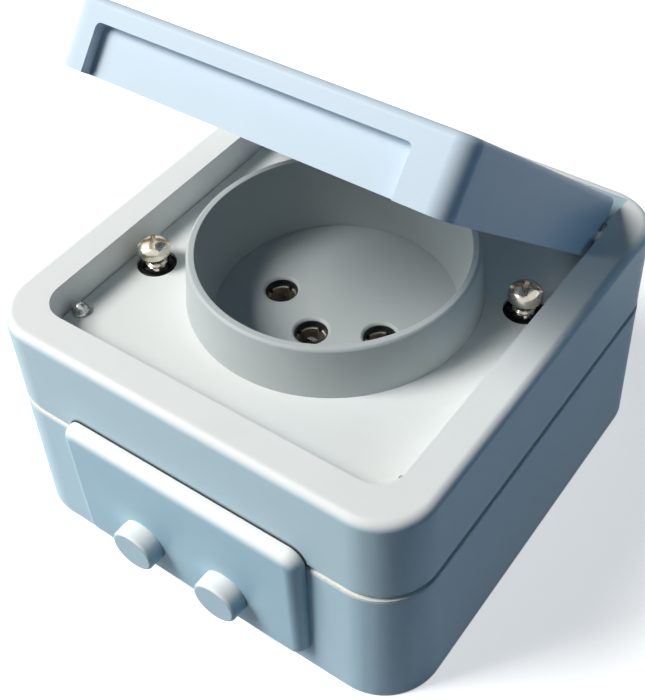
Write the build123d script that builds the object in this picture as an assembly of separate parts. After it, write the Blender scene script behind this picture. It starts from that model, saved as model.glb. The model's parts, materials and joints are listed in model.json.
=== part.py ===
"""Surface-mounted socket outlet with a hinged lid, a round collar and a two-button module.

Millimetres. The back of the base is on Z = 0 and +Z points away from the wall.
The button module faces -Y, the lid hinge is near +Y, and +X is to the right of the buttons.
The lid stands open at lid_open_angle, as it was photographed.
"""
from math import atan2, degrees
import os

from build123d import *

# Cover and base, outside
cover_half_x = 37.5            # half width of the cover at the joint line
cover_half_y = 38.65           # half depth of the cover at the joint line
cover_corner = 9.0             # corner radius at the joint line, seen from above
cover_draft = 0.3              # how much smaller each half is at the top
joint_z = 25.0                 # height of the joint line between base and cover
rim_z = 41.7                   # height of the rim's flat top
rim_round = 2.8                # rounding of the rim's outer edge
base_flare = 0.6               # how much wider each half of the base is at the wall
base_ledge = 0.1               # step by which the base stands out at the joint line
wall = 2.2                     # wall of base and cover
base_floor = 2.5
cover_groove = 0.35            # shadow gap cut along the cover's lower edge
gasket_thickness = 0.5
gasket_width = 1.9
cut_over = 1.0                 # how far a cutting shape runs past what it cuts

# Recess under the lid
rim_width = 6.3                # cover's side to the opening
opening_corner = 4.5
recess_depth = 5.56            # rim top down to the recess floor
ledge_width = 3.0              # inward ledge that carries the insert
ledge_thickness = 2.0
plate_thickness = 2.2          # floor plate of the socket insert
plate_gap = 0.2                # gap between the insert and the cover
core_wall = 2.0                # wall left around the core-out in the rim
core_roof = 2.3

# Collar and well of the socket insert
collar_margin = 8.0            # opening's side to the collar's foot
collar_rise = 3.2              # collar top above the rim
collar_taper = 1.0             # collar's outside is this much narrower at its top
collar_wall = 1.3              # wall of the collar at its top
well_taper = 1.7               # well's inside is this much narrower at its floor
well_depth = 9.86              # rim top down to the well floor
well_floor_thickness = 2.4
skirt_wall = 2.6               # wall of the well below the floor plate
lip_chamfer = 0.35

# Contacts
pin_spacing = 19.0
pin_row_y = -1.7
earth_offset = 5.0             # earth hole in front of the line of the other two
pin_hole_r = 2.6
pin_funnel = 0.4
sleeve_r_in = 2.1
sleeve_wall = 0.4
sleeve_slot = 0.7
sleeve_slot_length = 7.0
sleeve_top_gap = 1.6           # sleeve top below the well floor
tab_width = 6.0
tab_thickness = 0.9
tab_length = 9.5
terminal_size_x = 7.0
terminal_size_z = 8.0
terminal_wire_r = 2.0
terminal_wire_rise = 3.0       # wire hole's axis above the clamp's lower face
terminal_screw_r = 1.5
terminal_screw_bite = 1.5      # screw length inside the clamp
terminal_head_r = 2.3
terminal_head_h = 1.4
carrier_margin = 0.3           # carrier's radius beyond the well floor's
carrier_height = 12.0
carrier_bore_gap = 0.1
carrier_ear_r = 3.6
carrier_ear_thickness = 2.6
carrier_ear_reach = 6.0        # ear's centre beyond the carrier's side
carrier_screw_r = 1.3
carrier_screw_length = 8.0
carrier_head_r = 2.6
carrier_head_h = 1.8

# Cover screws, loosened and held captive
screw_inset = 4.3              # screw axis inside the opening's side
screw_y = 11.3
screw_r = 1.75
screw_head_r = 2.65
screw_head_h = 2.6
screw_head_edge = 0.6
screw_head_dome = 0.9
screw_head_lift = 2.4          # underside of the head above the recess floor
screw_length = 27.0
screw_slot = 0.7
screw_slot_reach = 1.7
screw_slot_depth = 1.0
screw_gap = 0.1
captive_r = 3.2
captive_notch = 1.0
captive_notch_depth = 0.8
captive_notches = 6
captive_sink = 0.5             # captive ring below the recess floor
screw_ear_r = 4.4
post_r = 3.8
blind_rise = 1.0               # floor left under a blind hole in the base

# Small things on the recess floor
corner_pin_inset_x = 1.8       # pin's axis inside the opening's left side
corner_pin_inset_y = 6.15      # pin's axis inside the opening's front side
corner_pin_r = 1.4
corner_pin_stem_r = 0.7
corner_pin_h = 2.0
drain_inset_x = 2.3
drain_inset_y = 6.85
drain_r = 0.45

# Lid, given in the closed position
lid_open_angle = 41.3
hinge_setback = 4.45           # hinge axis in front of the opening's back side
hinge_drop = 2.0               # hinge axis below the rim
lid_side_gap = 1.0             # opening's side to the lid's side
lid_front_gap = 0.55           # opening's front to the lid's front
lid_hang = 3.25                # hinge axis down to the lid's lower edge
lid_rise = 6.7                 # hinge axis up to the lid's top
lid_corner = 2.8
lid_back_round = 2.5
lid_top_edge = 1.1
lid_wall = 1.7
lid_top = 1.1
lid_front_wall = 3.4
pocket_skin = 0.45             # lid's side wall left outside a screw head's pocket
pocket_gap_y = 0.6
pocket_gap_z = 0.5
grip_margin_left = 4.6         # lid's left side to the finger grip
grip_margin_right = 7.2
grip_depth = 1.8
grip_top = 3.6                 # top of the finger grip above the hinge axis
grip_round = 0.8
seal_gap = 0.7                 # collar top to the seal's inner face
seal_width = 1.4
seal_height = 2.7
hinge_pin_r = 1.2
hinge_pin_gap = 0.06
hinge_pin_depth = 3.3          # pin length held in the cover
hinge_boss_r = 3.0
hinge_boss_length = 1.6
heel_room = 7.4                # hinge axis to the back of the cut in the rim
heel_side_gap = 0.35          # lid's side to the side of that cut

# Button module on the front
module_margin_x = 2.2          # fixing screw's axis to the plate's side
module_margin_z = 1.2          # case to the plate's lower edge
module_overlap = 3.5           # plate's top above the joint line
module_proud = 2.6
module_edge = 2.0              # rounding of the plate's front edge
module_corner = 2.6
case_half_x = 17.5
case_rise = 1.7                # case above the base's floor
case_top_drop = 3.5            # case's top below the joint line
case_depth = 16.0
case_to_carrier = 3.25         # gap between the case's back and the contact carrier
case_wall = 1.2
case_gap = 0.2
button_x = 8.1
button_rise = 6.55             # buttons' axis above the case's lower side
button_r = 3.9
button_proud = 3.0
button_edge = 0.35
button_gap = 0.08
button_travel = 1.5
button_flange_r = 4.7
button_flange = 1.0
button_flange_gap = 0.2
button_stem_r = 1.6
board_thickness = 1.6
board_back_gap = 2.0
switch_size = 6.0
switch_depth = 4.0
switch_back_wall = 0.8
actuator_r = 1.1
actuator_gap = 0.06
actuator_show = 1.8            # actuator between the button's stem and the switch
actuator_in = 1.2              # how far the actuator reaches into the switch at rest
core_r = 3.6
core_hole_r = 1.8
core_length = 5.0
core_gap = 0.1
relay_inset = 2.65             # case's side to the relay's side
relay_gap = 0.4                # case's inner top to the relay
relay_size_x = 6.5
relay_size_z = 4.6
relay_depth = 6.5
module_screw_margin = 2.3      # case's side to the fixing screw's axis
module_screw_rise = 8.6        # fixing screws above the case's lower side
module_screw_r = 1.2
module_screw_head_r = 2.1
module_screw_head_h = 1.4
module_screw_bite = 1.5

# Wall fixing and cable entry
fix_inset_x = 11.5             # cover's side to the wall screws
fix_inset_y = 11.65
fix_r = 2.1
entry_z = 12.5
entry_r = 7.5
grommet_lip_r = 9.2
grommet_lip = 1.6
grommet_bore_r = 4.5
bar_half_x = 11.0
bar_depth = 6.0
bar_thickness = 2.6
bar_inset = 9.65               # cover's back to the bar's centre line
bar_z = 8.0
bar_post_x = 8.4
bar_post_r = 2.4
bar_screw_r = 1.3
bar_head_r = 2.3
bar_head_h = 1.5
bar_screw_rise = 1.5           # tip of the bar's screws above the floor

# Places and levels that follow from the sizes above
opening_half_x = cover_half_x - rim_width
opening_half_y = cover_half_y - rim_width
cover_bottom_z = joint_z + gasket_thickness / 2
base_top_z = joint_z - gasket_thickness / 2
floor_z = rim_z - recess_depth
plate_z = floor_z - plate_thickness
ledge_z = plate_z - ledge_thickness
collar_r_foot = opening_half_x - collar_margin
collar_r_top = collar_r_foot - collar_taper
collar_z = rim_z + collar_rise
well_r_top = collar_r_top - collar_wall
well_r_floor = well_r_top - well_taper
well_z = rim_z - well_depth
well_under_z = well_z - well_floor_thickness
skirt_r = well_r_floor + skirt_wall
carrier_r = well_r_floor + carrier_margin
carrier_z = well_under_z - carrier_height
ear_top_z = carrier_z + carrier_ear_thickness
ear_xy = (carrier_r + carrier_ear_reach) / 2 ** 0.5
sleeve_r_out = sleeve_r_in + sleeve_wall
screw_x = opening_half_x - screw_inset
corner_pin_x = corner_pin_inset_x - opening_half_x
corner_pin_y = corner_pin_inset_y - opening_half_y
drain_x = opening_half_x - drain_inset_x
drain_y = drain_inset_y - opening_half_y
hinge_y = opening_half_y - hinge_setback
hinge_z = rim_z - hinge_drop
lid_half_x = opening_half_x - lid_side_gap
lid_front_y = lid_front_gap - opening_half_y
lid_back_y = hinge_y + lid_hang
lid_low_z = hinge_z - lid_hang
lid_high_z = hinge_z + lid_rise
ceiling_z = lid_high_z - lid_top
boss_start_x = lid_half_x - lid_wall - hinge_boss_length
hinge_pin_end_x = opening_half_x + hinge_pin_depth
face_y = -(cover_half_y + base_ledge)
module_front_y = face_y - module_proud
case_bottom_z = base_floor + case_rise
case_top_z = joint_z - case_top_drop
case_back_y = face_y + case_depth
module_screw_x = case_half_x + module_screw_margin
module_screw_z = case_bottom_z + module_screw_rise
module_half_x = module_screw_x + module_margin_x
module_bottom_z = case_bottom_z - module_margin_z
module_top_z = joint_z + module_overlap
button_z = case_bottom_z + button_rise
flange_y = face_y + button_flange_gap
board_front_y = case_back_y - case_wall - board_back_gap - board_thickness
switch_front_y = board_front_y - switch_depth
stem_end_y = switch_front_y - actuator_show
fix_x = cover_half_x - fix_inset_x
fix_y = cover_half_y - fix_inset_y
bar_y = cover_half_y - bar_inset


def slab(half_x, half_y, corner, z0, z1):
    """Upright block with rounded corners."""
    return extrude(Pos(0, 0, z0) * RectangleRounded(2 * half_x, 2 * half_y, corner), z1 - z0)


def drafted(half_x, half_y, corner, inset, z0, z1):
    """Upright block with rounded corners whose sides lean in by inset from z0 to z1."""
    outline = Pos(0, 0, z0) * RectangleRounded(2 * half_x, 2 * half_y, corner)
    return extrude(outline, z1 - z0, taper=degrees(atan2(inset, z1 - z0)))


def rod(x, y, z0, z1, r):
    """Upright cylinder."""
    return Pos(x, y, (z0 + z1) / 2) * Cylinder(r, z1 - z0)


def rod_x(x0, x1, y, z, r):
    """Cylinder along X."""
    return Pos((x0 + x1) / 2, y, z) * Rot(0, 90, 0) * Cylinder(r, x1 - x0)


def rod_y(x, y0, y1, z, r):
    """Cylinder along Y."""
    return Pos(x, (y0 + y1) / 2, z) * Rot(90, 0, 0) * Cylinder(r, y1 - y0)


def block(x0, x1, y0, y1, z0, z1):
    """Box between two corners."""
    return Pos((x0 + x1) / 2, (y0 + y1) / 2, (z0 + z1) / 2) * Box(x1 - x0, y1 - y0, z1 - z0)


def turned(points, x=0.0, y=0.0):
    """Solid of revolution about an upright axis from (radius, z) points."""
    profile = make_face(Plane.XZ * Polyline(*points, close=True))
    return Pos(x, y, 0) * revolve(profile, Axis.Z)


def base_outer():
    wider = base_ledge + base_flare
    return drafted(cover_half_x + wider, cover_half_y + wider, cover_corner + wider, base_flare, 0, base_top_z)


def cover_outer():
    return drafted(cover_half_x, cover_half_y, cover_corner, cover_draft, cover_bottom_z, rim_z)


def screw_places():
    """The two cover screws sit at opposite corners."""
    return ((-screw_x, -screw_y), (screw_x, screw_y))


def make_base_box():
    box = base_outer()
    box -= slab(cover_half_x - wall, cover_half_y - wall, cover_corner - wall, base_floor, base_top_z + cut_over)
    for x, y in screw_places():
        box += rod(x, y, base_floor, ledge_z, post_r)
        box -= rod(x, y, base_floor + blind_rise, ledge_z + cut_over, screw_r + screw_gap)
    for x in (-fix_x, fix_x):
        for y in (-fix_y, fix_y):
            box -= rod(x, y, -cut_over, base_floor + cut_over, fix_r)
    for x in (-bar_post_x, bar_post_x):
        box += rod(x, bar_y, base_floor, bar_z, bar_post_r)
        box -= rod(x, bar_y, base_floor + blind_rise, bar_z + cut_over, bar_screw_r)
    inner_y = cover_half_y - wall
    outer_y = cover_half_y + base_ledge + base_flare + cut_over
    box -= rod_y(0, inner_y - cut_over, outer_y, entry_z, entry_r)
    cut_x = case_half_x + case_gap
    box -= block(-cut_x, cut_x, -outer_y, cut_over - inner_y, case_bottom_z - case_gap, case_top_z + case_gap)
    for x in (-module_screw_x, module_screw_x):
        box -= rod_y(x, -outer_y, cut_over - inner_y, module_screw_z, module_screw_r + screw_gap)
    return box


def make_cover_frame():
    cover = cover_outer()
    cover = fillet(cover.faces().sort_by(Axis.Z)[-1].edges(), rim_round)
    cover -= slab(opening_half_x, opening_half_y, opening_corner, plate_z, rim_z + cut_over)
    inner_x = opening_half_x - ledge_width
    inner_y = opening_half_y - ledge_width
    low = cover_bottom_z - cut_over
    cover -= slab(inner_x, inner_y, opening_corner, low, rim_z)
    cover -= slab(cover_half_x - wall, cover_half_y - wall, cover_corner - wall, low, ledge_z)
    drawn_in = cover_draft + wall
    core = slab(cover_half_x - drawn_in, cover_half_y - drawn_in, cover_corner - drawn_in, low, rim_z - core_roof)
    core -= slab(opening_half_x + core_wall, opening_half_y + core_wall, opening_corner + core_wall, low, rim_z)
    core -= block(-cover_half_x, cover_half_x, hinge_y - 2 * hinge_boss_r, cover_half_y, low, rim_z)
    cover -= core
    heel_x = lid_half_x + heel_side_gap
    corner_y = opening_half_y - opening_corner
    cover -= block(-heel_x, heel_x, corner_y, hinge_y + heel_room, floor_z, rim_z + cut_over)
    for x, y in screw_places():
        ear = rod(x, y, ledge_z, plate_z, screw_ear_r)
        cover += ear & slab(opening_half_x, opening_half_y, opening_corner, ledge_z, plate_z)
        cover -= rod(x, y, ledge_z - cut_over, plate_z + cut_over, screw_r + screw_gap)
    groove_top = cover_bottom_z + cover_groove
    groove = slab(cover_half_x + cut_over, cover_half_y + cut_over, cover_corner, low, groove_top)
    groove -= slab(cover_half_x - cover_groove, cover_half_y - cover_groove, cover_corner - cover_groove,
                   low, groove_top)
    cover -= groove
    return cover - rod_x(-hinge_pin_end_x, hinge_pin_end_x, hinge_y, hinge_z, hinge_pin_r)


def make_joint_gasket():
    outer_x = cover_half_x + base_ledge / 2
    outer_y = cover_half_y + base_ledge / 2
    ring = slab(outer_x, outer_y, cover_corner, base_top_z, cover_bottom_z)
    return ring - slab(outer_x - gasket_width, outer_y - gasket_width, cover_corner - gasket_width,
                       base_top_z, cover_bottom_z)


def pin_places():
    return {"line": (-pin_spacing / 2, pin_row_y), "neutral": (pin_spacing / 2, pin_row_y),
            "earth": (0.0, pin_row_y - earth_offset)}


def make_socket_insert():
    plate = slab(opening_half_x - plate_gap, opening_half_y - plate_gap, opening_corner - plate_gap,
                 plate_z, floor_z)
    insert = plate - rod(0, 0, plate_z, floor_z, collar_r_foot)
    for x, y in screw_places():
        insert -= rod(x, y, plate_z, floor_z, captive_r)
    for x in (-ear_xy, ear_xy):
        insert += rod(x, ear_xy, ear_top_z, plate_z, carrier_ear_r)
        insert -= rod(x, ear_xy, ear_top_z, plate_z - blind_rise, carrier_screw_r)
    insert -= rod(corner_pin_x, corner_pin_y, plate_z, floor_z, corner_pin_stem_r)
    return insert - rod(drain_x, drain_y, plate_z, floor_z, drain_r)


def make_socket_collar():
    collar = turned([(0, well_z), (skirt_r, well_z), (skirt_r, plate_z), (collar_r_foot, plate_z),
                     (collar_r_foot, floor_z), (collar_r_top, collar_z - lip_chamfer),
                     (collar_r_top - lip_chamfer, collar_z), (0, collar_z)])
    return collar - turned([(0, well_z), (well_r_floor, well_z), (well_r_top, collar_z), (0, collar_z)])


def make_socket_face():
    face = rod(0, 0, well_under_z, well_z, skirt_r)
    funnel_r = pin_hole_r + pin_funnel
    for x, y in pin_places().values():
        face -= rod(x, y, well_under_z, well_z, pin_hole_r)
        face -= turned([(0, well_z - pin_funnel), (pin_hole_r, well_z - pin_funnel), (funnel_r, well_z),
                        (0, well_z)], x, y)
    return face


def make_contact_carrier():
    carrier = rod(0, 0, carrier_z, well_under_z, carrier_r)
    for side in (-1, 1):
        arm = Box(carrier_r + carrier_ear_reach, 2 * carrier_ear_r, carrier_ear_thickness)
        middle = Pos(side * ear_xy / 2, ear_xy / 2, (carrier_z + ear_top_z) / 2)
        carrier += middle * Rot(0, 0, side * 45) * arm
        carrier += rod(side * ear_xy, ear_xy, carrier_z, ear_top_z, carrier_ear_r)
        carrier -= rod(side * ear_xy, ear_xy, carrier_z, ear_top_z, carrier_screw_r + screw_gap)
    for x, y in pin_places().values():
        carrier -= rod(x, y, carrier_z, well_under_z, sleeve_r_out + carrier_bore_gap)
    flat_y = case_back_y + case_to_carrier
    return carrier - block(-cover_half_x, cover_half_x, face_y, flat_y, carrier_z, well_under_z)


def tab_direction(name):
    return {"line": (-1, 0), "neutral": (1, 0), "earth": (0, -1)}[name]


def make_contact(name):
    x, y = pin_places()[name]
    top = well_z - sleeve_top_gap
    sleeve = rod(x, y, carrier_z, top, sleeve_r_out) - rod(x, y, carrier_z, top, sleeve_r_in)
    slot = sleeve_slot / 2
    for reach_x, reach_y in ((sleeve_r_out, slot), (slot, sleeve_r_out)):
        sleeve -= block(x - reach_x, x + reach_x, y - reach_y, y + reach_y, top - sleeve_slot_length, top)
    along_x, along_y = tab_direction(name)
    end_x, end_y = x + along_x * tab_length, y + along_y * tab_length
    half = tab_width / 2
    tab = block(min(x - half, end_x), max(x + half, end_x), min(y - half, end_y), max(y + half, end_y),
                carrier_z - tab_thickness, carrier_z)
    return sleeve + tab


def terminal_place(name):
    x, y = pin_places()[name]
    along_x, along_y = tab_direction(name)
    reach = tab_length - terminal_size_x / 2
    return x + along_x * reach, y + along_y * reach


terminal_top_z = carrier_z - tab_thickness
terminal_low_z = terminal_top_z - terminal_size_z


def make_terminal_clamp(name):
    x, y = terminal_place(name)
    half = terminal_size_x / 2
    clamp = block(x - half, x + half, y - half, y + half, terminal_low_z, terminal_top_z)
    wire_z = terminal_low_z + terminal_wire_rise
    clamp -= rod_y(x, y - half, y + half, wire_z, terminal_wire_r)
    return clamp - rod(x, y, terminal_low_z, wire_z, terminal_screw_r)


def make_terminal_screws():
    screws = []
    for name in pin_places():
        x, y = terminal_place(name)
        shank = rod(x, y, terminal_low_z, terminal_low_z + terminal_screw_bite, terminal_screw_r)
        screws.append(rod(x, y, terminal_low_z - terminal_head_h, terminal_low_z, terminal_head_r) + shank)
    return Compound(children=screws)


def make_carrier_screws():
    screws = []
    for x in (-ear_xy, ear_xy):
        shank = rod(x, ear_xy, carrier_z, carrier_z + carrier_screw_length, carrier_screw_r)
        screws.append(rod(x, ear_xy, carrier_z - carrier_head_h, carrier_z, carrier_head_r) + shank)
    return Compound(children=screws)


def make_cover_screw(x, y):
    under = floor_z + screw_head_lift
    top = under + screw_head_h
    head = turned([(0, under), (screw_head_r - screw_head_edge, under), (screw_head_r, under + screw_head_edge),
                   (screw_head_r, top - screw_head_dome), (screw_head_r - screw_head_dome, top), (0, top)], x, y)
    half = screw_slot / 2
    for reach_x, reach_y in ((screw_slot_reach, half), (half, screw_slot_reach)):
        head -= block(x - reach_x, x + reach_x, y - reach_y, y + reach_y, top - screw_slot_depth, top)
    return head + rod(x, y, under - screw_length, under, screw_r)


def make_captive_ring(x, y):
    top = floor_z - captive_sink
    ring = rod(x, y, plate_z, top, captive_r) - rod(x, y, plate_z, top, screw_r + screw_gap)
    for step in range(captive_notches):
        turn = Pos(x, y, top) * Rot(0, 0, step * 360 / captive_notches) * Pos(captive_r, 0, 0)
        ring -= turn * Box(2 * captive_notch_depth, captive_notch, 2 * captive_notch_depth)
    return ring


def make_corner_pin():
    shoulder_z = floor_z + corner_pin_h - corner_pin_r
    dome = Pos(corner_pin_x, corner_pin_y, shoulder_z) * Sphere(corner_pin_r)
    dome &= rod(corner_pin_x, corner_pin_y, shoulder_z, shoulder_z + corner_pin_r, corner_pin_r)
    body = rod(corner_pin_x, corner_pin_y, floor_z, shoulder_z, corner_pin_r)
    return body + dome + rod(corner_pin_x, corner_pin_y, plate_z, floor_z, corner_pin_stem_r)


def opened(closed_piece):
    """Swings a piece of the closed lid up to the photographed angle."""
    return Pos(0, hinge_y, hinge_z) * Rot(-lid_open_angle, 0, 0) * Pos(0, -hinge_y, -hinge_z) * closed_piece


def lid_plan(inset_side, inset_front, inset_back, corner, z0, z1):
    """Upright block over the lid's outline, inset from its outer faces."""
    front = lid_front_y + inset_front
    back = lid_back_y - inset_back
    plan = RectangleRounded(2 * (lid_half_x - inset_side), back - front, corner)
    return extrude(Pos(0, (front + back) / 2, z0) * plan, z1 - z0)


def lid_side_profile():
    """Outline of the lid seen along X, with a heel that is round about the hinge axis."""
    turn = lid_back_round
    heel = CenterArc((hinge_y, hinge_z), lid_hang, -90, 90)
    shoulder = CenterArc((lid_back_y - turn, lid_high_z - turn), turn, 0, 90)
    lines = [Line((lid_front_y, lid_low_z), (hinge_y, lid_low_z)), heel,
             Line((lid_back_y, hinge_z), (lid_back_y, lid_high_z - turn)), shoulder,
             Line((lid_back_y - turn, lid_high_z), (lid_front_y, lid_high_z)),
             Line((lid_front_y, lid_high_z), (lid_front_y, lid_low_z))]
    return make_face(Plane.YZ * (Curve() + lines))


def make_lid_shell():
    body = lid_plan(0, 0, 0, lid_corner, lid_low_z, lid_high_z)
    body = fillet(body.faces().sort_by(Axis.Z)[-1].edges(), lid_top_edge)
    body &= extrude(lid_side_profile(), lid_half_x, both=True)
    body -= lid_plan(lid_wall, lid_front_wall, lid_wall, lid_corner - lid_wall, lid_low_z, ceiling_z)
    grip_low_x, grip_high_x = grip_margin_left - lid_half_x, lid_half_x - grip_margin_right
    grip = block(grip_low_x, grip_high_x, lid_front_y, lid_front_y + grip_depth, lid_low_z, hinge_z + grip_top)
    body -= fillet(grip.edges().filter_by(Axis.Y).sort_by(Axis.Z)[-2:], grip_round)
    for side in (-1, 1):
        wall_x = side * (lid_half_x - lid_wall / 2)
        low_x, high_x = sorted((side * boss_start_x, wall_x))
        body += rod_x(low_x, high_x, hinge_y, hinge_z, hinge_boss_r)
    body -= rod_x(-lid_half_x, lid_half_x, hinge_y, hinge_z, hinge_pin_r + hinge_pin_gap)
    pocket_y = screw_head_r + pocket_gap_y
    pocket_top = floor_z + screw_head_lift + screw_head_h + pocket_gap_z
    for x, y in screw_places():
        low_x, high_x = sorted((x, (lid_half_x - pocket_skin) * (1 if x > 0 else -1)))
        body -= block(low_x, high_x, y - pocket_y, y + pocket_y, lid_low_z, pocket_top)
    reach = corner_pin_r + pocket_gap_y
    body -= block(-opening_half_x, corner_pin_x + reach, corner_pin_y - reach, corner_pin_y + reach,
                  lid_low_z, floor_z + corner_pin_h + pocket_gap_z)
    return opened(body)


def make_lid_seal():
    inner = collar_r_top + seal_gap
    low = ceiling_z - seal_height
    return opened(rod(0, 0, low, ceiling_z, inner + seal_width) - rod(0, 0, low, ceiling_z, inner))


def make_hinge_pin(side):
    low_x, high_x = sorted((side * boss_start_x, side * hinge_pin_end_x))
    return rod_x(low_x, high_x, hinge_y, hinge_z, hinge_pin_r)


def make_module_plate():
    middle_z = (module_bottom_z + module_top_z) / 2
    outline = RectangleRounded(2 * module_half_x, module_top_z - module_bottom_z, module_corner)
    plate = extrude(Pos(0, module_front_y, middle_z) * Rot(90, 0, 0) * outline, -module_proud)
    plate = fillet(plate.faces().sort_by(Axis.Y)[0].edges(), module_edge)
    plate -= base_outer()
    for x in (-button_x, button_x):
        plate -= rod_y(x, module_front_y, face_y, button_z, button_r + button_gap)
    for x in (-module_screw_x, module_screw_x):
        plate -= rod_y(x, face_y - module_screw_bite, face_y, module_screw_z, module_screw_r)
    return plate


def make_module_case():
    case = block(-case_half_x, case_half_x, face_y, case_back_y, case_bottom_z, case_top_z)
    inner_x = case_half_x - case_wall
    return case - block(-inner_x, inner_x, face_y, case_back_y - case_wall, case_bottom_z + case_wall,
                        case_top_z - case_wall)


def make_module_board():
    inner_x = case_half_x - case_wall
    return block(-inner_x, inner_x, board_front_y, board_front_y + board_thickness, case_bottom_z + case_wall,
                 case_top_z - case_wall)


def make_switch(x):
    half = switch_size / 2
    body = block(x - half, x + half, switch_front_y, board_front_y, button_z - half, button_z + half)
    return body - rod_y(x, switch_front_y, board_front_y - switch_back_wall, button_z, actuator_r + actuator_gap)


def make_button(x):
    front = module_front_y - button_proud
    cap = rod_y(x, front, flange_y, button_z, button_r)
    cap = chamfer(cap.edges().sort_by(Axis.Y)[0], button_edge)
    flange_end = flange_y + button_flange
    cap += rod_y(x, flange_y, flange_end, button_z, button_flange_r)
    return cap + rod_y(x, flange_end, stem_end_y, button_z, button_stem_r)


def make_actuator(x):
    return rod_y(x, stem_end_y, switch_front_y + actuator_in, button_z, actuator_r)


def make_sensing_core():
    front = board_front_y - core_length
    z = case_top_z - case_wall - core_gap - core_r
    return rod_y(0, front, board_front_y, z, core_r) - rod_y(0, front, board_front_y, z, core_hole_r)


def make_trip_relay():
    high_x = case_half_x - relay_inset
    high_z = case_top_z - case_wall - relay_gap
    return block(high_x - relay_size_x, high_x, board_front_y - relay_depth, board_front_y,
                 high_z - relay_size_z, high_z)


def make_module_screws():
    screws = []
    inside = wall - cover_half_y
    for x in (-module_screw_x, module_screw_x):
        head = rod_y(x, inside, inside + module_screw_head_h, module_screw_z, module_screw_head_r)
        screws.append(head + rod_y(x, face_y - module_screw_bite, inside, module_screw_z, module_screw_r))
    return Compound(children=screws)


def make_cable_grommet():
    inner = cover_half_y - wall
    outer = cover_half_y + base_ledge
    lip = rod_y(0, inner - grommet_lip, inner, entry_z, grommet_lip_r)
    neck = rod_y(0, inner, outer, entry_z, entry_r)
    return lip + neck - rod_y(0, inner - grommet_lip, outer, entry_z, grommet_bore_r)


def make_relief_bar():
    bar = block(-bar_half_x, bar_half_x, bar_y - bar_depth / 2, bar_y + bar_depth / 2, bar_z, bar_z + bar_thickness)
    for x in (-bar_post_x, bar_post_x):
        bar -= rod(x, bar_y, bar_z, bar_z + bar_thickness, bar_screw_r + screw_gap)
    return bar


def make_relief_screws():
    screws = []
    top = bar_z + bar_thickness
    for x in (-bar_post_x, bar_post_x):
        shank = rod(x, bar_y, base_floor + bar_screw_rise, top, bar_screw_r)
        screws.append(rod(x, bar_y, top, top + bar_head_h, bar_head_r) + shank)
    return Compound(children=screws)


def build_parts():
    (left_x, left_y), (right_x, right_y) = screw_places()
    parts = {
        "base_box": make_base_box(),
        "cover_frame": make_cover_frame(),
        "joint_gasket": make_joint_gasket(),
        "socket_insert": make_socket_insert(),
        "socket_collar": make_socket_collar(),
        "socket_face": make_socket_face(),
        "contact_carrier": make_contact_carrier(),
        "terminal_screws": make_terminal_screws(),
        "carrier_screws": make_carrier_screws(),
        "cover_screw_left": make_cover_screw(left_x, left_y),
        "cover_screw_right": make_cover_screw(right_x, right_y),
        "captive_ring_left": make_captive_ring(left_x, left_y),
        "captive_ring_right": make_captive_ring(right_x, right_y),
        "corner_pin": make_corner_pin(),
        "lid_shell": make_lid_shell(),
        "lid_seal": make_lid_seal(),
        "hinge_pin_left": make_hinge_pin(-1),
        "hinge_pin_right": make_hinge_pin(1),
        "module_plate": make_module_plate(),
        "module_case": make_module_case(),
        "module_board": make_module_board(),
        "sensing_core": make_sensing_core(),
        "trip_relay": make_trip_relay(),
        "module_screws": make_module_screws(),
        "cable_grommet": make_cable_grommet(),
        "strain_relief_bar": make_relief_bar(),
        "strain_relief_screws": make_relief_screws(),
    }
    for name in pin_places():
        parts["contact_" + name] = make_contact(name)
        parts["terminal_clamp_" + name] = make_terminal_clamp(name)
    for name, x in (("left", -button_x), ("right", button_x)):
        parts["button_" + name] = make_button(x)
        parts["actuator_" + name] = make_actuator(x)
        parts["switch_" + name] = make_switch(x)
    return parts


def write_parts():
    os.makedirs("parts", exist_ok=True)
    for name, shape in build_parts().items():
        export_step(shape, "parts/" + name + ".step")


write_parts()
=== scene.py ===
"""Looks for a surface-mounted socket outlet with a hinged lid, a collar and a two-button module."""
import json
import math

import bpy
from mathutils import Matrix, Vector


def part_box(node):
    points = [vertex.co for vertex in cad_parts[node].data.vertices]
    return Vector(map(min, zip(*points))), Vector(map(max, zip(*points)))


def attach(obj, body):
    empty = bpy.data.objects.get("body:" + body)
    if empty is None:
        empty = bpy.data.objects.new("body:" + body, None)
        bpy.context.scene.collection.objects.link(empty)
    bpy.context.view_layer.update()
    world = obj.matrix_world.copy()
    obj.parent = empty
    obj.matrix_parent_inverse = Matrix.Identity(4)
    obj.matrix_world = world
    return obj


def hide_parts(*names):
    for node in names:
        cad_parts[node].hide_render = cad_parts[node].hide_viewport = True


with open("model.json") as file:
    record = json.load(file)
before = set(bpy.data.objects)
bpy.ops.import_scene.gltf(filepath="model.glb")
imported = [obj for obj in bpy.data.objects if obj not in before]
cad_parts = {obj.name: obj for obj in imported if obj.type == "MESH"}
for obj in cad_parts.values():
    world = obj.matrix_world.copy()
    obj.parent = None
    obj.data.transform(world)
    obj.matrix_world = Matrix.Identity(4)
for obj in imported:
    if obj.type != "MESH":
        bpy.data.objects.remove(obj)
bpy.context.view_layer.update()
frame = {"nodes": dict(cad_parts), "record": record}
nodes = frame["nodes"]

MM = 0.001
WHITE = (1.0, 1.0, 1.0, 1.0)


def srgb(red, green, blue):
    """Colour as it is seen, 0 to 255, to the linear values that a shader takes."""
    linear = []
    for value in (red, green, blue):
        share = value / 255
        linear.append(share / 12.92 if share <= 0.04045 else ((share + 0.055) / 1.055) ** 2.4)
    return (*linear, 1.0)


# Camera: in front of the object, to its right and above it

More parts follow.
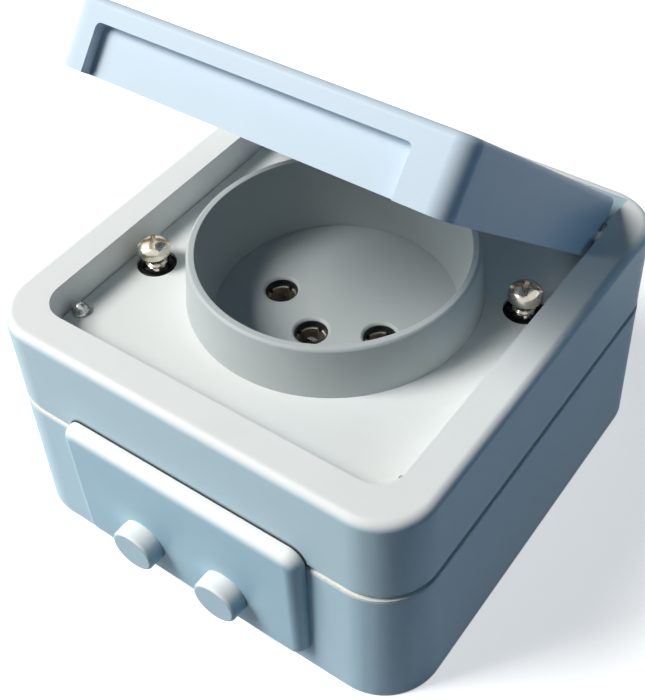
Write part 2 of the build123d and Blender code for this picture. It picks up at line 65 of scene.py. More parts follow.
IMAGE_HEIGHT_PX = 700
CAMERA_FOCAL_PX = 1185.1
CAMERA_PLACE = Vector((80.74, -106.62, 163.10)) * MM
CAMERA_AZIMUTH = 38.24
CAMERA_ELEVATION = 46.59
CAMERA_ROLL = -3.58
CAMERA_NEAREST = 0.005
SENSOR_MM = 36.0


def add_camera():
    """Camera at the photograph's place and angle."""
    angles = (CAMERA_AZIMUTH, CAMERA_ELEVATION, CAMERA_ROLL)
    azimuth, elevation, roll = (math.radians(angle) for angle in angles)
    back = Vector((math.sin(azimuth) * math.cos(elevation),
                   -math.cos(azimuth) * math.cos(elevation),
                   math.sin(elevation)))
    level = Vector((0, 0, 1)).cross(back).normalized()
    upright = back.cross(level)
    right = math.cos(roll) * level + math.sin(roll) * upright
    up = math.cos(roll) * upright - math.sin(roll) * level
    data = bpy.data.cameras.new("photo_camera")
    data.sensor_width = SENSOR_MM
    data.lens = SENSOR_MM * CAMERA_FOCAL_PX / IMAGE_HEIGHT_PX
    data.clip_start = CAMERA_NEAREST
    camera = bpy.data.objects.new("photo_camera", data)
    bpy.context.scene.collection.objects.link(camera)
    turn = Matrix((right, up, back)).transposed()
    camera.matrix_world = Matrix.Translation(CAMERA_PLACE) @ turn.to_4x4()
    bpy.context.scene.camera = camera


add_camera()


# Building a material

NOISE_LOW = 0.3
NOISE_HIGH = 0.7


class Shader:
    """Builds one material's nodes: a Principled shader with what feeds it."""

    def __init__(self, name, colour, roughness, metallic=0.0):
        self.material = bpy.data.materials.new(name)
        self.material.use_nodes = True
        self.tree = self.material.node_tree
        self.surface = self.tree.nodes["Principled BSDF"]
        self.surface.inputs["Base Color"].default_value = colour
        self.surface.inputs["Roughness"].default_value = roughness
        self.surface.inputs["Metallic"].default_value = metallic
        self.place = self.add("ShaderNodeTexCoord").outputs["Object"]

    def add(self, kind, **settings):
        node = self.tree.nodes.new(kind)
        for setting, value in settings.items():
            setattr(node, setting, value)
        return node

    def link(self, source, target):
        self.tree.links.new(source, target)

    def feed(self, value, target):
        """Links an output to an input, or sets the input to a plain value."""
        if isinstance(value, bpy.types.NodeSocket):
            self.link(value, target)
        else:
            target.default_value = value

    def noise(self, size_mm, detail, stretch=None):
        """Noise with grains of about size_mm, stretched along an axis where asked."""
        texture = self.add("ShaderNodeTexNoise")
        texture.inputs["Scale"].default_value = 1 / (size_mm * MM)
        texture.inputs["Detail"].default_value = detail
        source = self.place
        if stretch:
            mapping = self.add("ShaderNodeMapping")
            mapping.inputs["Scale"].default_value = stretch
            self.link(source, mapping.inputs["Vector"])
            source = mapping.outputs["Vector"]
        self.link(source, texture.inputs["Vector"])
        return texture.outputs["Fac"]

    def spread(self, value, low, high):
        """Maps a noise's usual range to another range."""
        ramp = self.add("ShaderNodeMapRange")
        ramp.inputs["From Min"].default_value = NOISE_LOW
        ramp.inputs["From Max"].default_value = NOISE_HIGH
        ramp.inputs["To Min"].default_value = low
        ramp.inputs["To Max"].default_value = high
        self.link(value, ramp.inputs["Value"])
        return ramp.outputs["Result"]

    def mix(self, factor, first, second):
        """Mixes two colours, each a value or an output."""
        node = self.add("ShaderNodeMix", data_type="RGBA")
        self.feed(factor, node.inputs["Factor"])
        self.feed(first, node.inputs["A"])
        self.feed(second, node.inputs["B"])
        return node.outputs["Result"]

    def calculate(self, operation, *values):
        """One step of arithmetic on values or outputs."""
        node = self.add("ShaderNodeMath", operation=operation)
        for value, target in zip(values, node.inputs):
            self.feed(value, target)
        return node.outputs["Value"]

    def bump(self, height, distance_mm, strength):
        node = self.add("ShaderNodeBump")
        node.inputs["Strength"].default_value = strength
        node.inputs["Distance"].default_value = distance_mm * MM
        self.link(height, node.inputs["Height"])
        self.link(node.outputs["Normal"], self.surface.inputs["Normal"])


def dulled(colour, share):
    """The same colour with each channel at a share of its strength."""
    return tuple(channel * share for channel in colour[:3]) + (1.0,)


# Light and ground

FILL_COLOUR = (0.45, 0.75, 1.0, 1.0)
FILL_STRENGTH = 0.025
GROUND_SIZE = 6.0
GROUND_HEIGHT = -0.0002
GROUND_SEEN = srgb(247, 248, 249)
GROUND_FOR_OTHERS = srgb(72, 96, 120)
GROUND_ROUGHNESS = 0.9
GROUND_GLOW = 0.6

# Each lamp: name, side in mm, power in watts, colour, place in mm, point it faces in mm
LAMPS = (
    ("key_lamp", 460, 14.4, (1.0, 0.98, 0.95), (-575, -500, 898), (0, -5, 30)),
    ("front_lamp", 420, 2.6, (0.86, 0.95, 1.0), (-640, -640, 270), (0, -5, 30)),
    ("window_lamp", 260, 0.22, (0.2, 0.6, 1.0), (380, 240, 190), (37, 0, 30)),
)


def add_lamp(name, size_mm, power, colour, place_mm, aim_mm):
    """Square soft light that faces a point on the object."""
    data = bpy.data.lights.new(name, "AREA")
    data.size = size_mm * MM
    data.energy = power
    data.color = colour
    lamp = bpy.data.objects.new(name, data)
    bpy.context.scene.collection.objects.link(lamp)
    place = Vector(place_mm) * MM
    direction = Vector(aim_mm) * MM - place
    lamp.location = place
    lamp.rotation_euler = direction.to_track_quat("-Z", "Y").to_euler()


def seen_directly(tree):
    """1 for the rays that show a surface as it is: to the camera, in gloss and through glass."""
    path = tree.nodes.new("ShaderNodeLightPath")
    value = path.outputs["Is Camera Ray"]
    for kind in ("Is Glossy Ray", "Is Transmission Ray"):
        either = tree.nodes.new("ShaderNodeMath")
        either.operation = "MAXIMUM"
        tree.links.new(value, either.inputs[0])
        tree.links.new(path.outputs[kind], either.inputs[1])
        value = either.outputs["Value"]
    return value


def light_room():
    """Pale blue surroundings that show as white, with the main light from front left and above."""
    world = bpy.data.worlds.new("pale_room")
    bpy.context.scene.world = world
    world.use_nodes = True
    tree = world.node_tree
    dim = tree.nodes["Background"]
    dim.inputs["Color"].default_value = FILL_COLOUR
    dim.inputs["Strength"].default_value = FILL_STRENGTH
    white = tree.nodes.new("ShaderNodeBackground")
    white.inputs["Color"].default_value = WHITE
    blend = tree.nodes.new("ShaderNodeMixShader")
    tree.links.new(seen_directly(tree), blend.inputs["Fac"])
    tree.links.new(dim.outputs["Background"], blend.inputs[1])
    tree.links.new(white.outputs["Background"], blend.inputs[2])
    tree.links.new(blend.outputs["Shader"], tree.nodes["World Output"].inputs["Surface"])
    for lamp in LAMPS:
        add_lamp(*lamp)


def lay_floor():
    """White ground that the box's back rests on."""
    choose_nothing()
    bpy.ops.mesh.primitive_plane_add(size=GROUND_SIZE, location=(0, 0, GROUND_HEIGHT))
    ground = bpy.context.active_object
    ground.name = "white_ground"
    paper = Shader("ground_white", GROUND_SEEN, GROUND_ROUGHNESS)
    seen = seen_directly(paper.tree)
    tone = paper.mix(seen, GROUND_FOR_OTHERS, GROUND_SEEN)
    paper.link(tone, paper.surface.inputs["Base Color"])
    glow = paper.calculate("MULTIPLY", seen, GROUND_GLOW)
    paper.surface.inputs["Emission Color"].default_value = WHITE
    paper.link(glow, paper.surface.inputs["Emission Strength"])
    paper.surface.inputs["Specular IOR Level"].default_value = 0.0
    ground.data.materials.append(paper.material)


# Making pieces

SMOOTH_BELOW = 35
ROUND_ABOVE = 28
EDGE_SEGMENTS = 2
FLAT_FACE_WEIGHT = 95
CAD_JOIN_M = 0.000002
CAD_DISSOLVE = 0.4
SPIN_SEED_M = 0.001
SPIN_JOIN_M = 0.00001
DOME_STEPS = 8


def choose_nothing():
    if bpy.context.mode != "OBJECT":
        bpy.ops.object.mode_set(mode="OBJECT")
    bpy.ops.object.select_all(action="DESELECT")


def choose(piece):
    choose_nothing()
    piece.select_set(True)
    bpy.context.view_layer.objects.active = piece


def settle(piece):
    """Applies a piece's place, so that its object sits at the origin."""
    choose(piece)
    bpy.ops.object.transform_apply(location=True, rotation=True, scale=True)


def keep_faces_flat(piece):
    """Smooth shading in which wide flat faces stay flat beside their rounded edges."""
    choose(piece)
    bpy.ops.object.shade_smooth_by_angle(angle=math.radians(SMOOTH_BELOW))
    weighted = piece.modifiers.new("flat_faces", "WEIGHTED_NORMAL")
    weighted.weight = FLAT_FACE_WEIGHT
    weighted.keep_sharp = True
    bpy.ops.object.modifier_apply(modifier=weighted.name)


def round_edges(piece, width_mm, from_angle=ROUND_ABOVE):
    """Rounds every edge that is sharper than from_angle."""
    choose(piece)
    bevel = piece.modifiers.new("edge_rounding", "BEVEL")
    bevel.limit_method = "ANGLE"
    bevel.angle_limit = math.radians(from_angle)
    bevel.width = width_mm * MM
    bevel.segments = EDGE_SEGMENTS
    bevel.miter_outer = "MITER_ARC"
    bevel.use_clamp_overlap = True
    bpy.ops.object.modifier_apply(modifier=bevel.name)
    keep_faces_flat(piece)


def placed(piece, body, slot, *replaced):
    """Puts a piece on its body and hides the CAD nodes that it replaces; its slot is not used."""
    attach(piece, body)
    if replaced:
        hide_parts(*replaced)


def cad_copy(node, name, material):
    """Joined-up copy of a CAD piece's mesh."""
    piece = bpy.data.objects.new(name, nodes[node].data.copy())
    bpy.context.scene.collection.objects.link(piece)
    piece.data.materials.clear()
    piece.data.materials.append(material)
    choose(piece)
    bpy.ops.object.mode_set(mode="EDIT")
    bpy.ops.mesh.select_all(action="SELECT")
    bpy.ops.mesh.remove_doubles(threshold=CAD_JOIN_M)
    bpy.ops.mesh.dissolve_limited(angle_limit=math.radians(CAD_DISSOLVE))
    bpy.ops.object.mode_set(mode="OBJECT")
    return piece


def softened(node, finish, body, slot, width_mm):
    """Copy of a CAD piece with slightly rounded edges, as a moulding has. It replaces the piece."""
    piece = cad_copy(node, node + "_moulded", finishes[finish])
    round_edges(piece, width_mm)
    placed(piece, body, slot, node)
    return piece


def turned(name, outline_mm, centre_mm, material, steps):
    """Round piece spun from an outline of radius and height about an upright axis."""
    choose_nothing()
    centre = Vector(centre_mm) * MM
    bpy.ops.mesh.primitive_plane_add(size=SPIN_SEED_M, location=centre)
    piece = bpy.context.active_object
    piece.name = name
    bpy.ops.object.transform_apply(location=True, rotation=False, scale=False)
    bpy.ops.object.mode_set(mode="EDIT")
    bpy.ops.mesh.select_all(action="SELECT")
    bpy.ops.mesh.merge(type="CENTER")
    points = [Vector((radius, 0, height)) * MM for radius, height in outline_mm]
    bpy.ops.transform.translate(value=points[0])
    for start, end in zip(points, points[1:]):
        bpy.ops.mesh.extrude_region_move(TRANSFORM_OT_translate={"value": end - start})
    bpy.ops.mesh.select_all(action="SELECT")
    bpy.ops.mesh.spin(steps=steps, angle=math.tau, center=centre, axis=(0, 0, 1))
    bpy.ops.mesh.select_all(action="SELECT")
    bpy.ops.mesh.remove_doubles(threshold=SPIN_JOIN_M)
    bpy.ops.mesh.normals_make_consistent(inside=False)
    bpy.ops.object.mode_set(mode="OBJECT")
    piece.data.materials.append(material)
    choose(piece)
    bpy.ops.object.shade_smooth_by_angle(angle=math.radians(SMOOTH_BELOW))
    return piece


def dome(radius, foot, rise):
    """Outline of a dome, from just above its foot to its tip on the axis."""
    arc = []
    for step in range(1, DOME_STEPS):
        turn = math.radians(90) * step / DOME_STEPS
        arc.append((radius * math.cos(turn), foot + rise * math.sin(turn)))
    return arc + [(0, foot + rise)]


def upright_axis(node):
    """Where the upright axis through a CAD piece's middle stands, in mm."""
    low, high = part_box(node)
    return [(low[axis] + high[axis]) / 2 / MM for axis in (0, 1)]


def box_piece(name, low_mm, high_mm):
    """Rectangular block between two corners."""
    choose_nothing()
    low, high = Vector(low_mm) * MM, Vector(high_mm) * MM
    bpy.ops.mesh.primitive_cube_add(size=1.0, location=(low + high) / 2)
    block = bpy.context.active_object
    block.name = name
    block.scale = high - low
    settle(block)
    return block


def cut_block(piece, low_mm, high_mm, turn, centre_mm):
    """Cuts a block out of a piece; the block is turned about an upright axis and then placed."""
    cutter = box_piece("cutter", low_mm, high_mm)
    cutter.rotation_euler = (0, 0, math.radians(turn))
    cutter.location = Vector(centre_mm) * MM
    settle(cutter)
    choose(piece)
    difference = piece.modifiers.new("cut", "BOOLEAN")
    difference.operation = "DIFFERENCE"
    difference.solver = "EXACT"
    difference.object = cutter
    bpy.ops.object.modifier_apply(modifier=difference.name)
    bpy.data.objects.remove(cutter, do_unlink=True)


# Materials

PLASTIC_ROUGHNESS = 0.42
PLASTIC_SPECULAR = 0.2
CLOUD_MM = 9.0
CLOUD_SHARE = 0.98
GRAIN_MM = 0.35
GRAIN_DEPTH_MM = 0.012

# Painted shade: where the darker, bluer outer sides begin, from the box's middle in mm, and how far
# a normal may point up there
SIDE_SHADE_FROM = {"X": 33.0, "Y": 34.2}
SIDE_NORMAL_Z = 0.15
TOP_NORMAL_Z = 0.75

SCRATCH_MM = 0.4
SCRATCH_STRETCH = (1.0, 1.0, 6.0)
SCRATCH_DEPTH_MM = 0.006
TARNISH_MM = 1.6
TARNISH_SHARE = 0.8

SKIN_MM = 0.5
SKIN_SHARE = 0.85
SKIN_DEPTH_MM = 0.02
RUBBER_SPECULAR = 0.15


def painted_side_shade(plastic):
    """Mask for painted shade: 1 on the box's outer side faces, 0 on its top and inside."""
    normal = plastic.add("ShaderNodeSeparateXYZ")
    plastic.link(plastic.add("ShaderNodeTexCoord").outputs["Normal"], normal.inputs["Vector"])
    sideways = plastic.add("ShaderNodeMapRange", interpolation_type="SMOOTHSTEP")
    sideways.inputs["From Min"].default_value = TOP_NORMAL_Z
    sideways.inputs["From Max"].default_value = SIDE_NORMAL_Z
    plastic.link(normal.outputs["Z"], sideways.inputs["Value"])
    place = plastic.add("ShaderNodeSeparateXYZ")
    plastic.link(plastic.place, place.inputs["Vector"])
    beyond = []
    for axis, limit in SIDE_SHADE_FROM.items():
        reach = plastic.calculate("ABSOLUTE", place.outputs[axis])
        beyond.append(plastic.calculate("SUBTRACT", reach, limit * MM))
    is_outer = plastic.calculate("GREATER_THAN", plastic.calculate("MAXIMUM", *beyond), 0.0)
    return plastic.calculate("MULTIPLY", sideways.outputs["Result"], is_outer)


def moulded(name, colour, side_shade_colour=None, grain_mm=GRAIN_MM):
    """Fine-grained moulded plastic; where a side colour is given, the outer side faces get it as
    painted shade.
    """
    plastic = Shader(name, colour, PLASTIC_ROUGHNESS)
    cloud = plastic.noise(CLOUD_MM, 3.0)
    tones = []
    for tone in (colour, side_shade_colour):
        if tone:
            share = plastic.spread(cloud, 0, 1)
            tones.append(plastic.mix(share, tone, dulled(tone, CLOUD_SHARE)))
    tone = plastic.mix(painted_side_shade(plastic), *tones) if side_shade_colour else tones[0]
    plastic.link(tone, plastic.surface.inputs["Base Color"])
    grain = plastic.noise(grain_mm, 1.0)
    gloss = plastic.spread(grain, PLASTIC_ROUGHNESS - 0.05, PLASTIC_ROUGHNESS + 0.06)
    plastic.link(gloss, plastic.surface.inputs["Roughness"])
    plastic.bump(grain, GRAIN_DEPTH_MM, 0.6)
    plastic.surface.inputs["Specular IOR Level"].default_value = PLASTIC_SPECULAR
    return plastic.material


def metal(name, colour, roughness):
    """Machined metal with fine marks and slightly uneven gloss."""
    shader = Shader(name, colour, roughness, 1.0)
    marks = shader.noise(SCRATCH_MM, 3.0, SCRATCH_STRETCH)
    gloss = shader.spread(marks, roughness * 0.7, roughness * 1.5)
    shader.link(gloss, shader.surface.inputs["Roughness"])
    tarnish = shader.spread(shader.noise(TARNISH_MM, 2.0), 0, 1)
    tone = shader.mix(tarnish, colour, dulled(colour, TARNISH_SHARE))
    shader.link(tone, shader.surface.inputs["Base Color"])
    shader.bump(marks, SCRATCH_DEPTH_MM, 0.4)
    return shader.material


def rubber(name, colour, roughness=0.65):
    """Soft, matt rubber with a faint skin."""
    shader = Shader(name, colour, roughness)
    skin = shader.noise(SKIN_MM, 3.0)
    tone = shader.mix(shader.spread(skin, 0, 1), colour, dulled(colour, SKIN_SHARE))
    shader.link(tone, shader.surface.inputs["Base Color"])
    gloss = shader.spread(skin, roughness - 0.08, roughness + 0.1)
    shader.link(gloss, shader.surface.inputs["Roughness"])
    shader.bump(skin, SKIN_DEPTH_MM, 0.5)
    shader.surface.inputs["Specular IOR Level"].default_value = RUBBER_SPECULAR
    return shader.material


# A second colour, where given, is painted shade: the darker, bluer look of the outer side faces
# beside the paler up-facing ones.
finishes = {
    "base_box": moulded("base_box_plastic", srgb(226, 231, 231), srgb(184, 211, 223)),
    "cover_frame": moulded("cover_plastic", srgb(235, 238, 237), srgb(188, 212, 221)),
    "gasket_rubber": rubber("gasket_cream", srgb(246, 245, 236)),
    "insert_plastic": moulded("insert_plastic_finish", srgb(232, 236, 235)),
    "collar_plastic": moulded("collar_plastic_finish", srgb(186, 192, 192)),
    "carrier_plastic": moulded("carrier_plastic_finish", srgb(205, 203, 194)),
    "contact_metal": metal("contact_nickel", srgb(228, 222, 204), 0.36),
    "terminal_brass": metal("terminal_brass_finish", srgb(205, 180, 110), 0.32),
    "screw_steel": metal("zinc_steel", srgb(190, 192, 194), 0.35),
    "screw_nickel": metal("nickel_plate", srgb(222, 215, 200), 0.22),
    "captive_black": rubber("captive_black_finish", srgb(30, 30, 31), 0.4),
    "pin_metal": metal("pin_steel", srgb(190, 194, 192), 0.25),
    "lid_plastic": moulded("lid_plastic_finish", srgb(201, 217, 230)),
    "seal_rubber": rubber("seal_grey", srgb(62, 64, 66)),
    "hinge_steel": metal("hinge_steel_finish", srgb(180, 180, 180), 0.3),
    "module_plastic": moulded("module_plastic_finish", srgb(240, 242, 241), srgb(166, 199, 213)),
    "button_plastic": moulded("button_plastic_finish", srgb(240, 242, 241), srgb(176, 203, 214)),
    "case_plastic": moulded("case_plastic_finish", srgb(52, 53, 55)),
    "dark_plastic": moulded("dark_plastic_finish", srgb(40, 41, 43)),
    "board_laminate": moulded("board_green", srgb(46, 96, 62), grain_mm=0.2),
    "core_grey": moulded("core_grey_finish", srgb(98, 99, 102)),
    "grommet_rubber": rubber("grommet_black", srgb(46, 47, 50)),
}

light_room()
lay_floor()

node_slots = {part["node"]: part["material_slot"] for part in frame["record"]["subparts"]}
for node, piece in nodes.items():
    for holder in piece.material_slots:
        holder.material = finishes[node_slots[node]]


# Housing, lid and module. Each: node, finish, body, slot, edge rounding in mm

cover = softened("cover_frame", "cover_frame", "housing", "cover_frame", 0.2)
for moulding in (
    ("base_box", "base_box", "housing", "base_box", 0.2),
    ("socket_insert", "insert_plastic", "housing", "insert_plastic", 0.2),
    ("socket_collar", "collar_plastic", "housing", "insert_plastic", 0.15),
    ("socket_face", "collar_plastic", "housing", "insert_plastic", 0.15),
    ("lid_shell", "lid_plastic", "lid", "lid_plastic", 0.25),
    ("module_plate", "module_plastic", "housing", "module_plastic", 0.2),
    ("button_left", "button_plastic", "left_button", "button_plastic", 0.15),
    ("button_right", "button_plastic", "right_button", "button_plastic", 0.15),
    ("contact_line", "contact_metal", "housing", "contact_metal", 0.1),
    ("contact_neutral", "contact_metal", "housing", "contact_metal", 0.1),
    ("contact_earth", "contact_metal", "housing", "contact_metal", 0.1),
):
    softened(*moulding)


# Cover's rim and lower edge

RIM_HALF = (37.2, 38.35)
RIM_CORNER = 8.7
CAST_ROUND = 2.8
SEEN_ROUND = 1.5
ROUND_SLACK = 0.02
ROUND_DEPTH = 0.15
CAST_GROOVE = 0.35
LOWER_EDGE_REACH = 0.25
LOWER_GAP = 0.65


def off_outline(x, y):
    """How far a point lies outside the rim's outline, and the way outwards from there."""
    beyond = [abs(value) - (half - RIM_CORNER) for value, half in zip((x, y), RIM_HALF)]
    if min(beyond) > 0:
        reach = math.hypot(*beyond)
        way = [value / reach for value in beyond]
    else:
        reach = max(beyond)
        way = [float(value == reach) for value in beyond]
    return reach - RIM_CORNER, math.copysign(way[0], x), math.copysign(way[1], y)


def tighten_rim():
    """Draws the rim's outer rounding out to the tighter one that the moulding shows."""
    arc_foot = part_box("cover_frame")[1][2] / MM - CAST_ROUND
    shift = CAST_ROUND - SEEN_ROUND
    for point in cover.data.vertices:
        x, y, z = point.co / MM
        off, out_x, out_y = off_outline(x, y)
        across, up = off + CAST_ROUND, z - arc_foot
        inside_arc = math.hypot(across, up) < CAST_ROUND - ROUND_DEPTH
        if min(across, up) < -ROUND_SLACK or inside_arc:
            continue
        outward = shift * (1 - across / CAST_ROUND)
        upward = shift * (1 - up / CAST_ROUND)
        point.co = Vector((x + out_x * outward, y + out_y * outward, z + upward)) * MM


def lift_lower_edge():
    """Widens the dark gap between the cover's lower outer edge and the sealing cord."""
    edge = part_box("joint_gasket")[1][2] / MM + CAST_GROOVE
    for point in cover.data.vertices:
        x, y, z = point.co / MM
        if abs(z - edge) < LOWER_EDGE_REACH and off_outline(x, y)[0] > 0:
            point.co.z += LOWER_GAP * MM


tighten_rim()
lift_lower_edge()
keep_faces_flat(cover)


# A seal and a painted shadow strip, which show as thin lines

BEAD_HEIGHT = 0.36
BEAD_SET_BACK = 1.5
BEAD_TOP_FROM = 0.1
# Painted shadow strip behind the button plate: how far it shows above and below the plate, its
# depth and how much wider it is
SHADOW_STRIP_SHOWS = 0.27
SHADOW_STRIP_FRONT = 0.22
SHADOW_STRIP_WIDER = 0.1


def joint_bead():
    """Cream sealing cord in the joint: its lower part is flush, its upper part lies back."""
    low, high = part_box("joint_gasket")
    middle = low[2] + BEAD_HEIGHT * MM
    bead = cad_copy("joint_gasket", "joint_bead", finishes["gasket_rubber"])
    bpy.ops.object.mode_set(mode="EDIT")
    bpy.ops.mesh.select_all(action="SELECT")
    bpy.ops.mesh.bisect(plane_co=(0, 0, middle), plane_no=(0, 0, 1))
    bpy.ops.mesh.select_all(action="DESELECT")
    bpy.ops.object.mode_set(mode="OBJECT")
    for point in bead.data.vertices:
        point.select = point.co.z > middle + BEAD_TOP_FROM * MM
    share = 1 - BEAD_SET_BACK * MM / high[0]
    bpy.ops.object.mode_set(mode="EDIT")
    bpy.ops.transform.resize(value=(share, share, 1), center_override=(0, 0, middle))
    bpy.ops.object.mode_set(mode="OBJECT")
    keep_faces_flat(bead)
    placed(bead, "housing", "gasket_rubber", "joint_gasket")


def module_shadow_strip():
    """Dark strip behind the button plate, a painted shadow: it shows as a thin dark line above the
    plate, where the shadow gap falls.
    """
    low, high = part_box("module_plate")
    width, depth, height = (end - start for start, end in zip(low, high))
    grown = (1 + SHADOW_STRIP_WIDER * MM / width, SHADOW_STRIP_FRONT * MM / depth,
             1 + 2 * SHADOW_STRIP_SHOWS * MM / height)
    middle = ((low[0] + high[0]) / 2, high[1], (low[2] + high[2]) / 2)
    shadow_strip = cad_copy("module_plate", "module_shadow_strip", finishes["seal_rubber"])
    bpy.ops.object.mode_set(mode="EDIT")
    bpy.ops.mesh.select_all(action="SELECT")
    bpy.ops.transform.resize(value=grown, center_override=middle)
    bpy.ops.object.mode_set(mode="OBJECT")
    keep_faces_flat(shadow_strip)
    placed(shadow_strip, "housing", "seal_rubber")


joint_bead()
module_shadow_strip()


# Cover screws, with outlines of radius and height from the head's underside

SCREW_HEAD_R = 2.65
SCREW_HEAD_H = 2.6
SCREW_DOME = 1.75
SCREW_SHANK_R = 1.75
SCREW_ROOT_R = 1.4
SCREW_PITCH = 0.8
SCREW_TIP = 0.8
SCREW_SLOT = 0.75
SCREW_EDGE = 0.07
SCREW_ROUND_ABOVE = 40
SCREW_STEPS = 64
SCREW_TURNS = {"cover_screw_left": 37, "cover_screw_right": 20}

# One turn of the thread: radius, and height as a share of the pitch
THREAD = ((SCREW_SHANK_R, 0.35), (SCREW_SHANK_R, 0.5), (SCREW_ROOT_R, 0.85), (SCREW_ROOT_R, 1))
SCREW_HEAD = [(1.55, -0.7), (1.62, -0.05), (SCREW_HEAD_R - 0.35, 0), (SCREW_HEAD_R - 0.08, 0.1),
              (SCREW_HEAD_R, 0.35), (SCREW_HEAD_R, SCREW_HEAD_H - SCREW_DOME)]

# The crossed slot's two arms: reach from the middle, depth, turn
SLOT_ARMS = ((SCREW_HEAD_R + 0.4, 1.15, 0), (1.75, 1.35, 90))


def cover_screw(node):
    """Cheese-head screw with a crossed slot and a cut thread, standing half unscrewed."""
    low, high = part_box(node)
    centre = (*upright_axis(node), high[2] / MM - SCREW_HEAD_H)
    length = (high[2] - low[2]) / MM - SCREW_HEAD_H
    outline = [(0, -length), (SCREW_ROOT_R, -length)]
    start = SCREW_TIP - length
    while start < -2 * SCREW_PITCH:
        outline += [(radius, start + share * SCREW_PITCH) for radius, share in THREAD]
        start += SCREW_PITCH
    outline += SCREW_HEAD + dome(SCREW_HEAD_R, SCREW_HEAD_H - SCREW_DOME, SCREW_DOME)
    screw = turned(node + "_driven", outline, centre, finishes["screw_nickel"], SCREW_STEPS)
    for reach, depth, turn in SLOT_ARMS:
        cut_block(screw, (-reach, -SCREW_SLOT / 2, SCREW_HEAD_H - depth),
                  (reach, SCREW_SLOT / 2, SCREW_HEAD_H + 1), turn + SCREW_TURNS[node], centre)
    round_edges(screw, SCREW_EDGE, SCREW_ROUND_ABOVE)
    placed(screw, "housing", "screw_nickel", node)


RETAINER_R = 3.2
RETAINER_BORE = SCREW_SHANK_R + 0.2
# The neck is partly painted shade: its black darkens the shank just under the screw head
RETAINER_NECK_R = 2.5
RETAINER_NECK_TOP = 1.15
RETAINER_STEPS = 56
RETAINER_UPPER = [(RETAINER_R, -0.2), (RETAINER_R - 0.06, -0.06), (RETAINER_R - 0.2, 0),
                  (RETAINER_NECK_R + 0.3, 0), (RETAINER_NECK_R, 0.15),
                  (RETAINER_NECK_R - 0.1, 1.0), (RETAINER_NECK_R - 0.25, RETAINER_NECK_TOP),
                  (RETAINER_BORE + 0.15, RETAINER_NECK_TOP), (RETAINER_BORE, 1.0)]
NOTCH_WIDTH = 0.95
NOTCH_REACH = 4
NOTCH_FOOT = 0.25
NOTCH_TOP = 2
NOTCH_TURNS = (10, 70, 130)


def screw_retainer(node):
    """Black ring round a cover screw, with a notched black neck up the shank; the neck is partly
    painted shade, darkening the shank under the head where the head's shade falls.
    """
    low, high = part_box(node)
    centre = (*upright_axis(node), high[2] / MM)
    depth = (high[2] - low[2]) / MM
    outline = [(RETAINER_BORE, -depth), (RETAINER_R - 0.1, -depth), (RETAINER_R, 0.1 - depth),
               *RETAINER_UPPER, (RETAINER_BORE, -depth)]
    retainer = turned(node + "_notched", outline, centre, finishes["captive_black"],
                      RETAINER_STEPS)
    for turn in NOTCH_TURNS:
        cut_block(retainer, (-NOTCH_REACH, -NOTCH_WIDTH / 2, NOTCH_FOOT),
                  (NOTCH_REACH, NOTCH_WIDTH / 2, NOTCH_TOP), turn, centre)
    keep_faces_flat(retainer)
    placed(retainer, "housing", "captive_black", node)


for node in SCREW_TURNS:
    cover_screw(node)
for node in ("captive_ring_left", "captive_ring_right"):
    screw_retainer(node)


# Rivet in the recess's corner

RIVET_STANDS = 2.0
RIVET_SHANK_R = 0.7
RIVET_DOME_R = 1.22
RIVET_DOME_FOOT = 0.62
RIVET_STEPS = 40

# Radius and height above the floor
RIVET_FLANGE = ((RIVET_SHANK_R, 0), (1.34, 0), (1.4, 0.08), (1.4, 0.42), (1.3, 0.5),
                (RIVET_DOME_R, RIVET_DOME_FOOT))


def corner_rivet():
    """Polished dome on a short collar, in the recess's corner."""
    low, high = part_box("corner_pin")
    foot, floor = low[2] / MM, high[2] / MM - RIVET_STANDS
    outline = [(0, foot), (RIVET_SHANK_R, foot)]
    outline += [(radius, floor + height) for radius, height in RIVET_FLANGE]
    outline += dome(RIVET_DOME_R, floor + RIVET_DOME_FOOT, RIVET_STANDS - RIVET_DOME_FOOT)
    rivet = turned("corner_rivet", outline, (*upright_axis("corner_pin"), 0),
                   finishes["pin_metal"], RIVET_STEPS)
    placed(rivet, "housing", "pin_metal", "corner_pin")


corner_rivet()


# Pin holes

PIN_PLACES = {"line": (-9.5, -1.7), "neutral": (9.5, -1.7), "earth": (0, -6.7)}
# Painted shade: dark sleeves inside the pin holes, with their bore, outer radius, top, top bevel
# and steps
SHADE_SLEEVE_R = 2.43
SHADE_SLEEVE_OUTER_R = 2.61
SHADE_SLEEVE_TOP = -0.45
SHADE_SLEEVE_BEVEL = (0.06, 0.08)
SHADE_SLEEVE_STEPS = 48

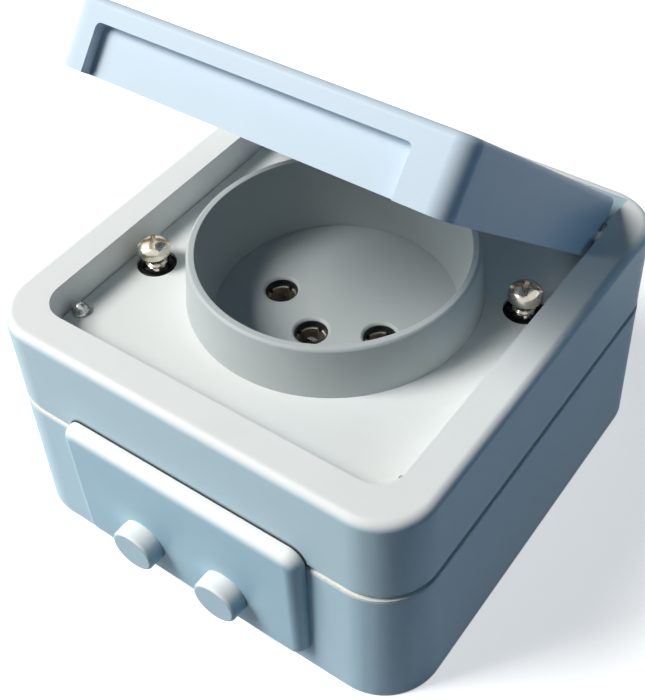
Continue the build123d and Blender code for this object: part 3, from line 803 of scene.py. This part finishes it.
# The strip's two corners and the steps of its bent tip, from the earth hole's mouth
TONGUE_LOW = (-0.45, 0.35, -8)
TONGUE_HIGH = (0.95, 0.75, -2.7)
TONGUE_TIP = ((0.0, -0.1, 0.6), (0.0, -0.3, 0.45), (0.0, -0.5, 0.2))
TONGUE_EDGE = 0.07


def pin_hole_shade(name):
    """Dark sleeve that lines a pin hole down to its contact: painted shade that darkens the hole's
    wall.
    """
    low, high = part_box("socket_face")
    foot = -(high[2] - low[2]) / MM
    bevel_across, bevel_down = SHADE_SLEEVE_BEVEL
    outline = [(SHADE_SLEEVE_R, SHADE_SLEEVE_TOP - bevel_down), (SHADE_SLEEVE_R + bevel_across, SHADE_SLEEVE_TOP),
               (SHADE_SLEEVE_OUTER_R, SHADE_SLEEVE_TOP), (SHADE_SLEEVE_OUTER_R, foot), (SHADE_SLEEVE_R, foot),
               (SHADE_SLEEVE_R, SHADE_SLEEVE_TOP - bevel_down)]
    hole_shade = turned("pin_hole_shade_" + name, outline, (*PIN_PLACES[name], high[2] / MM),
                   finishes["dark_plastic"], SHADE_SLEEVE_STEPS)
    placed(hole_shade, "housing", "dark_plastic")


def earth_tongue():
    """Bright spring strip in the earth contact, bent over at its tip."""
    mouth = Vector((*PIN_PLACES["earth"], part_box("socket_face")[1][2] / MM))
    strip = box_piece("earth_tongue", mouth + Vector(TONGUE_LOW), mouth + Vector(TONGUE_HIGH))
    for step in TONGUE_TIP:
        choose_nothing()
        tip = max(strip.data.polygons, key=lambda face: face.center.z)
        for face in strip.data.polygons:
            face.select = face == tip
        choose(strip)
        bpy.ops.object.mode_set(mode="EDIT")
        bpy.ops.mesh.select_mode(type="FACE")
        bpy.ops.mesh.extrude_region_move(TRANSFORM_OT_translate={"value": Vector(step) * MM})
        bpy.ops.mesh.select_mode(type="VERT")
        bpy.ops.object.mode_set(mode="OBJECT")
    strip.data.materials.append(finishes["screw_nickel"])
    round_edges(strip, TONGUE_EDGE)
    placed(strip, "housing", "contact_metal")


for name in PIN_PLACES:
    pin_hole_shade(name)
earth_tongue()

bpy.context.scene.view_settings.view_transform = "Standard"
